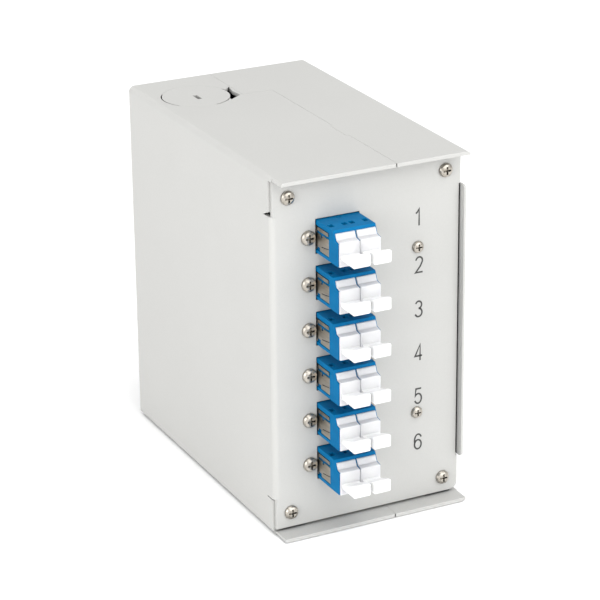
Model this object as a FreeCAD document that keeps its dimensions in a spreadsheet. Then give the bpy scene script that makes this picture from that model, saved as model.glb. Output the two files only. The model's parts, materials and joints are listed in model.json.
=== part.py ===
import FreeCAD, Part
import math
import os
import re
import Sketcher
from types import SimpleNamespace

# Six-way fiber termination box for a 35 mm rail.
# Row frame: +X to the right as seen from the front, +Y to the back, +Z up.
# The origin is the middle of the case's underside. All sizes are in millimetres.

DIMENSIONS = {
    # folded steel case
    "case_width": 58.4,
    "case_depth": 94.0,
    "case_height": 105.4,
    "sheet": 1.1,
    "bend_radius": 1.7,
    "lip": 5.4,
    "lip_inset": 0.7,
    "seam_offset": 6.2,
    "seam_gap": 0.06,
    "seam_notch": 0.9,
    "slit": 0.2,
    "jog_width": 9.4,
    "jog_depth": 23.2,
    "tongue_length": 10.0,
    "tongue_reach": 0.8,
    "tongue_front": 22.0,
    "bend_low": 10.9,
    "bend_high": 94.15,
    "relief_depth": 4.3,
    "relief_height": 1.85,
    "relief_slit": 0.3,
    "panel_low": 1.9,
    "panel_inset": 0.3,
    "panel_free": 0.6,
    "panel_corner": 2.2,
    "rim_low": 12.6,
    "rim_high": 94.4,
    "rim_reach": 2.2,
    "rim_thick": 0.6,
    "rim_outset": 0.35,
    "rim_gap": 0.5,
    "rim_corner": 1.2,
    "wall_setback": 2.4,
    "hook_width": 8.0,
    # knockout in the top
    "knockout_radius": 9.9,
    "knockout_gap": 0.35,
    "knockout_side": 13.3,
    "knockout_back": 18.4,
    "open_left": 8.0,
    "open_side": 2.0,
    "open_back": 3.0,
    "star_tip": 0.7,
    "star_waist": 1.2,
    "star_back": 8.7,
    "shear_gap": 0.05,
    "slot_forward": 0.9,
    "slot_length": 4.2,
    "slot_width": 1.3,
    # corner screws and the brackets behind them
    "corner_side": 5.1,
    "corner_high": 99.1,
    "corner_low": 6.4,
    "corner_head": 2.0,
    "corner_shank": 1.2,
    "corner_screw": 7.0,
    "bracket_leg": 9.0,
    "bracket_inset": 0.8,
    "bracket_gap": 0.1,
    "hole_clearance": 0.15,
    "head_gap": 0.02,
    "nut_flats": 5.0,
    "nut_thick": 2.0,
    # adapters
    "adapter_side": 20.1,
    "adapter_top": 86.7,
    "adapter_pitch": 13.4,
    "body_width": 12.8,
    "body_height": 9.4,
    "body_front": 12.5,
    "body_back": 15.2,
    "recess_height": 2.75,
    "recess_depth": 2.9,
    "recess_step": 1.75,
    "port_pitch": 6.25,
    "port_width": 4.8,
    "port_low": 2.9,
    "port_high": 3.7,
    "port_axis": 0.5,
    "mid_wall": 3.0,
    "holder_radius": 1.5,
    "holder_reach": 4.0,
    "sleeve_radius": 0.8,
    "sleeve_bore": 0.625,
    "sleeve_length": 6.8,
    "flange_width": 23.0,
    "flange_thick": 1.8,
    "flange_holes": 17.9,
    "flange_corner": 1.2,
    "small_shank": 0.95,
    "small_head": 2.1,
    "small_screw": 5.5,
    "small_nut_flats": 4.0,
    "small_nut_thick": 1.6,
    "latch_spread": 2.0,
    "latch_half": 0.75,
    "latch_front": 6.95,
    "latch_back": 5.0,
    "seat_low": 3.8,
    "seat_high": 3.3,
    "seat_back": 8.2,
    "clip_thick": 0.3,
    "clip_reach": 7.2,
    "clip_top": 1.2,
    "clip_gap": 0.05,
    "cutout_gap": 0.3,
    # dust caps
    "cap_width": 5.7,
    "cap_base": 6.05,
    "cap_plate": 0.5,
    "cap_gap": 0.05,
    "cap_top": 0.8,
    "grip_width": 5.2,
    "grip_root": 1.0,
    "grip_low": 2.9,
    "grip_high": 0.7,
    "grip_waist": 1.4,
    "grip_reach": 7.1,
    "plug_width": 4.4,
    "plug_length": 7.0,
    # splice tray and its bracket
    "tray_side": 15.6,
    "tray_screw_high": 78.2,
    "tray_screw_low": 28.5,
    "tray_head": 1.7,
    "tray_screw": 6.0,
    "web_side": 10.8,
    "web_back": 38.0,
    "web_low": 18.0,
    "web_high": 89.0,
    "foot_width": 9.8,
    "tray_front": 40.0,
    "tray_back": 36.0,
    "tray_wall": 1.2,
    "tray_height": 9.0,
    "tray_corner": 7.0,
    "way_centre": -14.0,
    "way_half": 4.0,
    "guide_front": -20.0,
    "guide_back": 16.0,
    "guide_radius": 9.2,
    "guide_wall": 1.2,
    "rivet_head": 2.0,
    "rivet_thick": 0.8,
    "finger_reach": 5.0,
    "finger_half": 2.0,
    "lid_thick": 1.2,
    "pin_radius": 0.75,
    "knuckle_radius": 1.7,
    "knuckle_length": 8.0,
    "comb_pitch": 3.2,
    "comb_length": 10.0,
    "comb_front": -10.5,
    "comb_base": 1.2,
    "comb_tooth": 1.0,
    "comb_height": 6.0,
    # cable anchor and fiber clips
    "anchor_low": 58.0,
    "anchor_high": 70.0,
    "anchor_rivet": 63.0,
    "anchor_spread": 2.4,
    "anchor_leg": 11.0,
    "anchor_neck": 5.0,
    "anchor_head": 10.0,
    "anchor_reach": 17.0,
    "anchor_tip": 3.0,
    "fiber_side": 12.0,
    "fiber_low": 28.0,
    "fiber_high": 76.0,
    "fiber_base": 12.0,
    "fiber_foot": 1.2,
    "fiber_ring": 4.5,
    "fiber_wall": 1.0,
    "fiber_width": 6.0,
    "fiber_mouth": 2.4,
    # clip for the 35 mm rail
    "rail_centre": 53.0,
    "rail_height": 35.0,
    "rail_slot": 1.3,
    "rail_head": 2.3,
    "rail_screw": 6.0,
    "rail_holes": 8.0,
    "sink_depth": 1.7,
    "clip_width": 22.0,
    "clip_below": 21.0,
    "clip_above": 7.0,
    "guide_side": 3.0,
    "guide_back_wall": 1.6,
    "plate_thick": 3.0,
    "hook_thick": 3.0,
    "hook_reach": 3.2,
    "latch_width": 12.0,
    "latch_thick": 4.0,
    "latch_low": 8.0,
    "latch_travel": 4.0,
    "slide_gap": 0.2,
    "spring_wire": 0.25,
    "spring_radius": 1.5,
    "spring_base": 22.0,
    "spring_length": 8.8,
    "spring_turns": 6.0,
}

N = SimpleNamespace(**DIMENSIONS)

# Expressions that several pieces share.
FRONT = "-case_depth/2"
BACK = "case_depth/2"
JOG_X = "seam_offset-jog_width"
JOG_Y = "case_depth/2-jog_depth"
TRAY_FLOOR = "web_side+sheet+0.1"
TRAY_TOP = "web_side+sheet+0.1+tray_height"
SEAT = "case_depth/2+plate_thick"
RAIL_TOP = "rail_centre+rail_height/2"
RAIL_LOW = "rail_centre-rail_height/2"
RIM_INSIDE = "case_width/2+rim_outset-rim_thick"
KNOCKOUT_X = "knockout_side-case_width/2"
KNOCKOUT_Y = "case_depth/2-knockout_back"
TRAY_MIDDLE = "(web_low+web_high)/2"

doc = FreeCAD.newDocument("fiber_termination_box")
sheet = doc.addObject("Spreadsheet::Sheet", "dims")
for row, (alias, value) in enumerate(DIMENSIONS.items(), start=1):
    sheet.set("A%d" % row, alias)
    sheet.set("B%d" % row, repr(value))
    sheet.setAlias("B%d" % row, alias)
doc.recompute()

nodes = []


# ---------------------------------------------------------------- helpers

def qualified(text):
    """Point every dimension named in an expression at the dims sheet."""
    def swap(match):
        word = match.group(0)
        return "dims." + word if word in DIMENSIONS else word
    return re.sub(r"[a-z_]+", swap, str(text))


def bind(thing, path, text):
    thing.setExpression(path, qualified(text))


def place(thing, x="0", y="0", z="0"):
    bind(thing, "Placement.Base.x", x)
    bind(thing, "Placement.Base.y", y)
    bind(thing, "Placement.Base.z", z)


def keep(thing, label):
    """Mark a finished sub-part as one of the exported nodes."""
    thing.Label = label
    nodes.append(thing)
    return thing


def new_body(name):
    return doc.addObject("PartDesign::Body", name)


def sketch(body, role, loops, offset="0", circles=()):
    """Draw closed outlines on one of the body's own planes.

    loops are lists of (across, up) expressions. circles are (across, up, radius).
    """
    drawing = body.newObject("Sketcher::SketchObject", body.Name + "_sketch")
    plane = [p for p in body.Origin.OriginFeatures if p.Role == role][0]
    drawing.AttachmentSupport = (plane, [""])
    drawing.MapMode = "FlatFace"
    bind(drawing, ".AttachmentOffset.Base.z", offset)
    for loop in loops:
        first = drawing.GeometryCount
        count = len(loop)
        ring = [2 * math.pi * i / count for i in range(count + 1)]
        corners = [FreeCAD.Vector(math.cos(a), math.sin(a), 0) for a in ring]
        for i in range(count):
            drawing.addGeometry(Part.LineSegment(corners[i], corners[i + 1]))
        for i in range(count):
            following = first + (i + 1) % count
            drawing.addConstraint(Sketcher.Constraint("Coincident", first + i, 2, following, 1))
        for i, (across, up) in enumerate(loop):
            for kind, start, text in (("DistanceX", corners[i].x, across),
                                      ("DistanceY", corners[i].y, up)):
                rule = Sketcher.Constraint(kind, -1, 1, first + i, 1, start)
                bind(drawing, "Constraints[%d]" % drawing.addConstraint(rule), text)
    for across, up, radius in circles:
        middle = FreeCAD.Vector(1, 1, 0)
        ring = drawing.addGeometry(Part.Circle(middle, FreeCAD.Vector(0, 0, 1), 1))
        for rule, text in ((Sketcher.Constraint("DistanceX", -1, 1, ring, 3, 1.0), across),
                           (Sketcher.Constraint("DistanceY", -1, 1, ring, 3, 1.0), up),
                           (Sketcher.Constraint("Radius", ring, 1.0), radius)):
            bind(drawing, "Constraints[%d]" % drawing.addConstraint(rule), text)
    return drawing


def rectangle(left, right, low, high):
    return [(left, low), (right, low), (right, high), (left, high)]


def pad(body, drawing, length, reverse=False, both=False):
    feature = body.newObject("PartDesign::Pad", body.Name + "_pad")
    feature.Profile = drawing
    feature.Reversed = reverse
    feature.Midplane = both
    bind(feature, "Length", length)
    doc.recompute()
    return feature


def pocket(body, drawing, length, reverse=False, both=False):
    before = body.Shape.Volume
    feature = body.newObject("PartDesign::Pocket", body.Name + "_pocket")
    feature.Profile = drawing
    feature.Reversed = reverse
    feature.Midplane = both
    bind(feature, "Length", length)
    doc.recompute()
    if body.Shape.Volume > before - 1e-6:
        raise RuntimeError("a pocket in %s cuts nothing" % body.Name)
    return feature


def fillet(body, radius, wanted):
    """Round the edges of the body that wanted(edge) picks."""
    picked = ["Edge%d" % (i + 1) for i, e in enumerate(body.Shape.Edges) if wanted(e)]
    if not picked:
        raise RuntimeError("no edge to round in " + body.Name)
    last = body.Tip
    feature = body.newObject("PartDesign::Fillet", body.Name + "_fillet")
    feature.Base = (last, picked)
    bind(feature, "Radius", radius)
    doc.recompute()
    return feature


def along(edge, axis):
    """True for a straight edge parallel to x, y or z."""
    if edge.Curve.TypeId != "Part::GeomLine":
        return False
    return abs(getattr(edge.Curve.Direction, axis)) > 0.999


def near(edge, **targets):
    """True when the edge's middle has the stated coordinates."""
    middle = edge.valueAt((edge.FirstParameter + edge.LastParameter) / 2)
    return all(abs(getattr(middle, axis) - value) < 0.05 for axis, value in targets.items())


def box(name, xs, ys, zs):
    """A Part box from its low and high limits on each axis."""
    block = doc.addObject("Part::Box", name)
    place(block, xs[0], ys[0], zs[0])
    for side, (low, high) in zip(("Length", "Width", "Height"), (xs, ys, zs)):
        bind(block, side, "(%s)-(%s)" % (high, low))
    return block


TURNS = {
    "x": FreeCAD.Rotation(FreeCAD.Vector(0, 1, 0), 90),
    "y": FreeCAD.Rotation(FreeCAD.Vector(1, 0, 0), -90),
    "z": FreeCAD.Rotation(),
}


def rod(name, axis, radius, length, x="0", y="0", z="0"):
    """A Part cylinder that starts at x, y, z and runs along +axis."""
    shaft = doc.addObject("Part::Cylinder", name)
    shaft.Placement.Rotation = TURNS[axis]
    bind(shaft, "Radius", radius)
    bind(shaft, "Height", length)
    place(shaft, x, y, z)
    return shaft


def fuse(name, pieces):
    joined = doc.addObject("Part::MultiFuse", name)
    joined.Shapes = pieces
    joined.Refine = True
    return joined


def cut(name, base, tools):
    tool = tools[0] if len(tools) == 1 else fuse(name + "_tools", tools)
    left = doc.addObject("Part::Cut", name)
    left.Base = base
    left.Tool = tool
    left.Refine = True
    return left


def copies(name, master, spots):
    """One node that holds the master at each (x, y, z)."""
    links = []
    for spot in spots:
        link = doc.addObject("App::Link", name + "_link")
        link.LinkedObject = master
        place(link, *spot)
        links.append(link)
    group = doc.addObject("Part::Compound", name)
    group.Links = links
    return keep(group, name)


def screw(name, head, shank, length):
    """A pan-head screw with a cross recess; its head is towards -Y, seat at Y = 0."""
    body = new_body(name)
    tall = "%s*0.62" % head
    outline = [
        ("0", "-(%s)" % tall),
        ("%s*0.55" % head, "-(%s)" % tall),
        ("%s*0.86" % head, "-(%s)*0.78" % tall),
        (head, "-(%s)*0.4" % tall),
        (head, "0"),
        (shank, "0"),
        (shank, "%s-%s*0.3" % (length, shank)),
        ("%s*0.7" % shank, length),
        ("0", length),
    ]
    turned = body.newObject("PartDesign::Revolution", name + "_turned")
    turned.Profile = sketch(body, "XY_Plane", [outline])
    turned.ReferenceAxis = (turned.Profile[0], ["V_Axis"])
    turned.Angle = 360
    doc.recompute()
    arm, half = "%s*0.58" % head, "%s*0.13" % head
    cross = [
        (half, half), (arm, half), (arm, "-" + half), (half, "-" + half),
        (half, "-" + arm), ("-" + half, "-" + arm), ("-" + half, "-" + half),
        ("-" + arm, "-" + half), ("-" + arm, half), ("-" + half, half),
        ("-" + half, arm), (half, arm),
    ]
    pocket(body, sketch(body, "XZ_Plane", [cross], offset=tall), "(%s)*0.7" % tall)
    return body


def nut(name, flats, bore, thick):
    """A hexagon nut that starts at Y = 0 and runs along +Y."""
    hexagon = doc.addObject("Part::Prism", name + "_hexagon")
    hexagon.Polygon = 6
    hexagon.Placement.Rotation = TURNS["y"]
    bind(hexagon, "Circumradius", "(%s)/sqrt(3)" % flats)
    bind(hexagon, "Height", thick)
    hole = rod(name + "_hole", "y", bore, thick)
    return cut(name, hexagon, [hole])


# ---------------------------------------------------------------- case

def channel(body, wall, edge):
    """A C-shaped sheet pad along Y: the wall at x = wall, open towards x = edge."""
    inner = "%s-sheet" % wall if not wall.startswith("-") else "%s+sheet" % wall
    outline = [
        (wall, "0"), (edge, "0"), (edge, "sheet"), (inner, "sheet"),
        (inner, "case_height-sheet"), (edge, "case_height-sheet"),
        (edge, "case_height"), (wall, "case_height"),
    ]
    drawing = sketch(body, "XZ_Plane", [outline], offset="case_depth/2+lip")
    pad(body, drawing, "case_depth+lip", reverse=True)
    side = -1 if wall.startswith("-") else 1
    outer_x = side * N.case_width / 2
    fillet(body, "bend_radius", lambda e: along(e, "y") and near(e, x=outer_x))
    inner_x = outer_x - side * N.sheet
    fillet(body, "bend_radius-sheet", lambda e: along(e, "y") and near(e, x=inner_x))


def chassis():
    body = new_body("chassis")
    channel(body, "-case_width/2", "seam_offset-seam_gap/2")
    # The lips start just inside the bend and the wall stops behind the panel.
    lip_end = rectangle("-case_width/2-1", "-case_width/2+lip_inset", "-1", "case_height+1")
    pocket(body, sketch(body, "XZ_Plane", [lip_end], offset="case_depth/2+lip"), "lip")
    wall_end = rectangle("-case_width/2-1", "-case_width/2+bend_radius", "sheet", "case_height-sheet")
    pocket(body, sketch(body, "XZ_Plane", [wall_end], offset="case_depth/2+lip"), "lip+sheet+slit/2")
    # Bend between the wall and the panel, with a relief cut at each end of it.
    outer_x, inner_x = "-case_width/2", "-case_width/2+sheet"
    bend_end = "-case_width/2+2*bend_radius+sheet"
    inner_y, wall_y = "-case_depth/2+sheet", "-case_depth/2+relief_depth"
    bend = [
        (outer_x, FRONT), (bend_end, FRONT), (bend_end, inner_y),
        (inner_x, inner_y), (inner_x, wall_y), (outer_x, wall_y),
    ]
    pad(body, sketch(body, "XY_Plane", [bend], "bend_low"), "bend_high-bend_low")
    wedge = [(wall_y, "bend_high"), (FRONT, "bend_high"), (FRONT, "bend_high+relief_height")]
    slit = rectangle(FRONT, wall_y, "bend_low-relief_slit", "bend_low")
    for relief in (wedge, slit):
        drawing = sketch(body, "YZ_Plane", [relief], offset="-case_width/2-0.5")
        pocket(body, drawing, "bend_radius+0.5", reverse=True)
    corner_y = -N.case_depth / 2
    corner_x = -N.case_width / 2
    fillet(body, "bend_radius", lambda e: along(e, "z") and near(e, x=corner_x, y=corner_y))
    fillet(body, "bend_radius-sheet", lambda e: along(e, "z")
           and near(e, x=corner_x + N.sheet, y=corner_y + N.sheet))
    # Front panel, free of the wall above and below the bend.
    free = "-case_width/2+panel_free"
    joint = "-case_width/2+bend_radius+sheet"
    right = "case_width/2-panel_inset"
    notch = RIM_INSIDE + "-rim_gap"
    panel = [
        (free, "panel_low"), (right, "panel_low"), (right, "rim_low-slit"),
        (notch, "rim_low-slit"), (notch, "rim_high+slit"), (right, "rim_high+slit"),
        (right, "case_height-sheet-slit/2"), (free, "case_height-sheet-slit/2"),
        (free, "bend_high"), (joint, "bend_high"), (joint, "bend_low"), (free, "bend_low"),
    ]
    pad(body, sketch(body, "XZ_Plane", [panel], offset="case_depth/2"), "sheet", reverse=True)
    right_x = N.case_width / 2 - N.panel_inset
    fillet(body, "panel_corner", lambda e: along(e, "y") and near(e, x=right_x)
           and e.BoundBox.ZMin < N.panel_low + 0.1)
    fillet(body, "panel_corner/2", lambda e: along(e, "y") and near(e, x=right_x)
           and e.BoundBox.ZMin > N.case_height - 2 * N.sheet)
    # The lips' corners are clipped where they meet the cover's.
    ahead = "%s-lip-0.3" % FRONT
    seam_end = [
        ("seam_offset-seam_notch", ahead), ("seam_offset+1", ahead),
        ("seam_offset+1", "%s-lip+1.3*seam_notch" % FRONT),
    ]
    pocket(body, sketch(body, "XY_Plane", [seam_end], "case_height+1"), "case_height+2")
    # Back wall, folded from the same side wall.
    rear = rectangle("-case_width/2", "case_width/2-sheet-slit",
                     "sheet+slit", "case_height-sheet-slit")
    pad(body, sketch(body, "XZ_Plane", [rear], offset="-case_depth/2"), "sheet")
    # Openings for the adapters, one row of three holes for each.
    middle = "-case_width/2+adapter_side"
    half_wide = "(body_width/2+cutout_gap)"
    half_tall = "(body_height/2+cutout_gap)"
    hole = "small_shank+hole_clearance"
    for k in range(6):
        level = "adapter_top-%d*adapter_pitch" % k
        window = rectangle("%s-%s" % (middle, half_wide), "%s+%s" % (middle, half_wide),
                           "%s-%s" % (level, half_tall), "%s+%s" % (level, half_tall))
        screws = [("%s-flange_holes/2" % middle, level, hole),
                  ("%s+flange_holes/2" % middle, level, hole)]
        pocket(body, sketch(body, "XZ_Plane", [window], "case_depth/2", screws), "sheet")
    corners = [("%s(case_width/2-corner_side)" % side, level, "corner_shank+hole_clearance")
               for side in ("-", "+") for level in ("corner_high", "corner_low")]
    tray = [("tray_side", level, "corner_shank+hole_clearance")
            for level in ("tray_screw_high", "tray_screw_low")]
    pocket(body, sketch(body, "XZ_Plane", [], "case_depth/2", corners + tray), "sheet")
    # Rail clip and cable anchor fixings in the back wall.
    rear_holes = []
    for sign in ("+", "-"):
        rear_holes.append(("0", "rail_centre%srail_holes" % sign, "corner_shank+hole_clearance"))
        rear_holes.append(("%s%sanchor_spread" % (KNOCKOUT_X, sign), "anchor_rivet",
                           "small_shank+hole_clearance"))
    pocket(body, sketch(body, "XZ_Plane", [], "-case_depth/2+sheet", rear_holes), "sheet")
    # Top sheet: step in the seam, notch for the cover's tongue, knockout hole.
    step = rectangle("%s-seam_gap/2" % JOG_X, "seam_offset+1", JOG_Y, "case_depth/2+1")
    pocket(body, sketch(body, "XY_Plane", [step], "case_height"), "sheet")
    notch_y = "-case_depth/2+tongue_front"
    bite = rectangle("seam_offset-tongue_reach-seam_gap", "seam_offset+1",
                     notch_y, "%s+tongue_length" % notch_y)
    pocket(body, sketch(body, "XY_Plane", [bite], "case_height"), "sheet")
    ring = [(KNOCKOUT_X, KNOCKOUT_Y, "knockout_radius+knockout_gap")]
    pocket(body, sketch(body, "XY_Plane", [], "case_height", ring), "sheet")
    # A torn star between the knockout and the step of the seam.
    wedge = [
        ("%s+knockout_radius*0.78" % KNOCKOUT_X, "%s-knockout_radius*0.78" % KNOCKOUT_Y),
        ("%s-star_tip" % JOG_X, "%s+0.1" % JOG_Y),
        ("%s-star_waist" % JOG_X, "%s+star_back/2" % JOG_Y),
        ("%s-star_tip/2" % JOG_X, "%s+star_back" % JOG_Y),
        ("%s+knockout_radius" % KNOCKOUT_X, "%s+knockout_radius*0.16" % KNOCKOUT_Y),
        ("%s+knockout_radius*0.9" % KNOCKOUT_X, KNOCKOUT_Y),
    ]
    pocket(body, sketch(body, "XY_Plane", [wedge], "case_height"), "sheet")
    return keep(body, "chassis")


def cover():
    body = new_body("cover")
    channel(body, "case_width/2", "seam_offset+seam_gap/2")
    # Lip ends, and the wall set back behind the panel except for its raised rim.
    lip_end = rectangle("case_width/2-panel_inset", "case_width/2+1", "-1", "case_height+1")
    pocket(body, sketch(body, "XZ_Plane", [lip_end], offset="case_depth/2+lip"), "lip")
    inside = ("sheet", "case_height-sheet")
    wall_end = rectangle("case_width/2-bend_radius", "case_width/2+1", *inside)
    pocket(body, sketch(body, "XZ_Plane", [wall_end], offset="case_depth/2+lip"), "lip-rim_reach")
    for low, high in ((inside[0], "rim_low"), ("rim_high", inside[1])):
        gap = rectangle("case_width/2-bend_radius", "case_width/2+1", low, high)
        drawing = sketch(body, "XZ_Plane", [gap], "case_depth/2+rim_reach")
        pocket(body, drawing, "rim_reach+sheet+wall_setback")
    # The rim stands out a little and is thinner, so that it clears the panel's edge.
    outset = rectangle("case_width/2-sheet", "case_width/2+rim_outset", "rim_low", "rim_high")
    drawing = sketch(body, "XZ_Plane", [outset], "case_depth/2+rim_reach")
    pad(body, drawing, "rim_reach+sheet+2*slit", reverse=True)
    inside_cut = rectangle("case_width/2-2*sheet", RIM_INSIDE, "rim_low-1", "rim_high+1")
    drawing = sketch(body, "XZ_Plane", [inside_cut], "case_depth/2+rim_reach")
    pocket(body, drawing, "rim_reach+sheet+slit")
    rim_y = -N.case_depth / 2 - N.rim_reach
    fillet(body, "rim_corner", lambda e: along(e, "x") and near(e, y=rim_y)
           and N.rim_low - 1 < e.BoundBox.ZMin < N.rim_high + 1)
    # Rear corner of the top that reaches past the seam, and the tongue in the seam.
    reach = rectangle("%s+seam_gap/2" % JOG_X, "seam_offset+seam_gap", "%s+seam_gap" % JOG_Y, BACK)
    pad(body, sketch(body, "XY_Plane", [reach], "case_height-sheet"), "sheet")
    tongue_y = "-case_depth/2+tongue_front+seam_gap/2"
    tongue = rectangle("seam_offset-tongue_reach", "seam_offset+seam_gap",
                       tongue_y, "%s+tongue_length-seam_gap" % tongue_y)
    pad(body, sketch(body, "XY_Plane", [tongue], "case_height-sheet"), "sheet")
    # Hook flange that slides in behind the back wall.
    flange = rectangle("case_width/2-sheet-hook_width", "case_width/2-sheet/2",
                       "bend_low", "bend_high")
    pad(body, sketch(body, "XZ_Plane", [flange], "-(case_depth/2-sheet-slit)"), "sheet")
    return keep(body, "cover")


def knockout():
    """Half-sheared disc: tight in its hole except along open left and front-right arcs."""
    x, y = KNOCKOUT_X, KNOCKOUT_Y
    zs = ("case_height-sheet", "case_height")
    disc = rod("knockout_disc", "z", "knockout_radius", "sheet", x, y, zs[0])
    reach = "(knockout_radius+knockout_gap-shear_gap)"
    low_y, high_y = "%s-%s" % (y, reach), "%s+%s" % (y, reach)
    middle = box("knockout_middle", ("%s-open_left" % x, "%s+open_side" % x), (low_y, high_y), zs)
    rear = box("knockout_rear", (x, "%s+%s" % (x, reach)), ("%s+open_back" % y, high_y), zs)
    blank = fuse("knockout_blank", [disc, middle, rear])
    trimmed = doc.addObject("Part::MultiCommon", "knockout_trimmed")
    trimmed.Shapes = [blank, rod("knockout_rim", "z", reach, "sheet", x, y, zs[0])]
    slot = box("knockout_slot", ("%s-slot_width/2" % x, "%s+slot_width/2" % x),
               ("%s-slot_forward-slot_length/2" % y, "%s-slot_forward+slot_length/2" % y),
               (zs[0] + "-1", zs[1] + "+1"))
    return keep(cut("knockout", trimmed, [slot]), "knockout")


def corner_bracket(name, side, top, slotted):
    """An L of sheet behind the panel; a slotted one lets go of its screw sideways."""
    sign = "-" if side < 0 else "+"
    centre = "%s(case_width/2-corner_side)" % sign
    outer = "%s(case_width/2-sheet-bracket_inset)" % sign
    inner = "%s(case_width/2-sheet-bracket_leg)" % sign
    xs = (outer, inner) if side < 0 else (inner, outer)
    y0 = "-case_depth/2+sheet+bracket_gap"
    if top:
        z_leg = ("case_height-2*sheet-bracket_gap/2", "case_height-sheet-bracket_gap/2")
        z_tab = ("case_height-sheet-bracket_leg", z_leg[1])
        level = "corner_high"
    else:
        z_leg = ("sheet+bracket_gap/2", "2*sheet+bracket_gap/2")
        z_tab = (z_leg[0], "sheet+bracket_leg")
        level = "corner_low"
    leg = box(name + "_leg", xs, (y0, "%s+bracket_leg" % y0), z_leg)
    tab = box(name + "_tab", xs, (y0, "%s+sheet" % y0), z_tab)
    hole = rod(name + "_hole", "y", "corner_shank+hole_clearance", "sheet+2", centre, y0 + "-1", level)
    tools = [hole]
    if slotted:
        slot_z = ("%s-corner_shank-hole_clearance" % level, "%s+corner_shank+hole_clearance" % level)
        tools.append(box(name + "_slot", ("%s-bracket_leg" % centre, centre),
                         (y0 + "-1", y0 + "+sheet+1"), slot_z))
    return cut(name, fuse(name + "_blank", [leg, tab]), tools)


def brackets():
    for label, side, slotted in (("chassis_corner_brackets", -1, False),
                                 ("cover_corner_brackets", 1, True)):
        pair = [corner_bracket("%s_%s" % (label, word), side, top, slotted)
                for word, top in (("upper", True), ("lower", False))]
        group = doc.addObject("Part::Compound", label)
        group.Links = pair
        keep(group, label)


def corner_fixings():
    spots = [("%s(case_width/2-corner_side)" % side, "-case_depth/2-head_gap", level)
             for side in ("-", "+") for level in ("corner_high", "corner_low")]
    master = screw("corner_screw_master", "corner_head", "corner_shank", "corner_screw")
    copies("corner_screws", master, spots)
    behind = [(x, "%s+2*sheet+2.5*bracket_gap" % y, z) for x, y, z in spots]
    copies("corner_nuts", nut("corner_nut", "nut_flats", "corner_shank+head_gap", "nut_thick"), behind)


# ---------------------------------------------------------------- adapters

def adapter_level(k):
    return "adapter_top-%d*adapter_pitch" % k


ADAPTER_X = "adapter_side-case_width/2"


def adapter_housing(k):
    """Duplex adapter body; its own Y = 0 is the panel's front face."""
    body = new_body("adapter_housing_%d" % (k + 1))
    low, high = "-body_height/2", "body_height/2"
    shoulder = "body_height/2-recess_height"
    side = [
        ("-body_front", low), ("-body_front", "%s-0.2" % shoulder),
        ("-body_front+recess_step", "%s+0.2" % shoulder), ("-body_front+recess_depth", high),
        ("body_back-recess_depth", high), ("body_back-recess_step", "%s+0.2" % shoulder),
        ("body_back", "%s-0.2" % shoulder), ("body_back", low),
    ]
    pad(body, sketch(body, "YZ_Plane", [side]), "body_width", both=True)
    flange = rectangle("-flange_width/2", "flange_width/2", low, high)
    holes = [("%sflange_holes/2" % sign, "0", "small_shank+hole_clearance") for sign in ("-", "+")]
    pad(body, sketch(body, "XZ_Plane", [flange], "-(sheet+0.05)", holes), "flange_thick", reverse=True)
    fillet(body, "flange_corner", lambda e: along(e, "y")
           and abs(abs(e.BoundBox.XMin) - N.flange_width / 2) < 0.05)
    # Four ports, with a holder tube in each for the alignment sleeve.
    for end, start in (("front", "body_front"), ("back", "-body_back")):
        depth = "body_front-(mid_wall-sheet)/2" if end == "front" else "body_back-(mid_wall+sheet)/2"
        ports = [rectangle("%sport_pitch/2-port_width/2" % sign, "%sport_pitch/2+port_width/2" % sign,
                           "-port_low", "port_high") for sign in ("-", "+")]
        pocket(body, sketch(body, "XZ_Plane", ports, start), depth, reverse=(end == "back"))
    tubes = [("%sport_pitch/2" % sign, "-port_axis", "holder_radius") for sign in ("-", "+")]
    pad(body, sketch(body, "XZ_Plane", [], "-sheet/2", tubes), "mid_wall+2*holder_reach", both=True)
    bores = [(x, z, "sleeve_radius+0.03") for x, z, _ in tubes]
    pocket(body, sketch(body, "XZ_Plane", [], "-sheet/2", bores), "mid_wall+2*holder_reach+1", both=True)
    # Latch windows in the top, the mark at the back edge, and seats for the spring clip.
    windows = []
    for sign in ("-", "+"):
        for way in ("-", "+"):
            middle = "%sport_pitch/2%slatch_spread" % (sign, way)
            windows.append(rectangle(middle + "-latch_half", middle + "+latch_half",
                                     "-latch_front", "-latch_back"))
    windows.append(rectangle("-0.8", "0.8", "-1.1", "-0.2"))
    pocket(body, sketch(body, "XY_Plane", windows, high), "body_height/2-port_high+0.1")
    seat_depth = "clip_thick+0.1"
    for sign in ("-", "+"):
        seat = rectangle("-clip_reach-0.1", "seat_back", "-seat_low", "seat_high")
        strap = rectangle("3.1", "seat_back", "-body_height/2-1", "-seat_low+0.1")
        for loop in (seat, strap):
            drawing = sketch(body, "YZ_Plane", [loop], "%sbody_width/2" % sign)
            pocket(body, drawing, seat_depth, reverse=(sign == "-"))
    place(body, ADAPTER_X, FRONT, adapter_level(k))
    return keep(body, body.Name)


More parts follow.
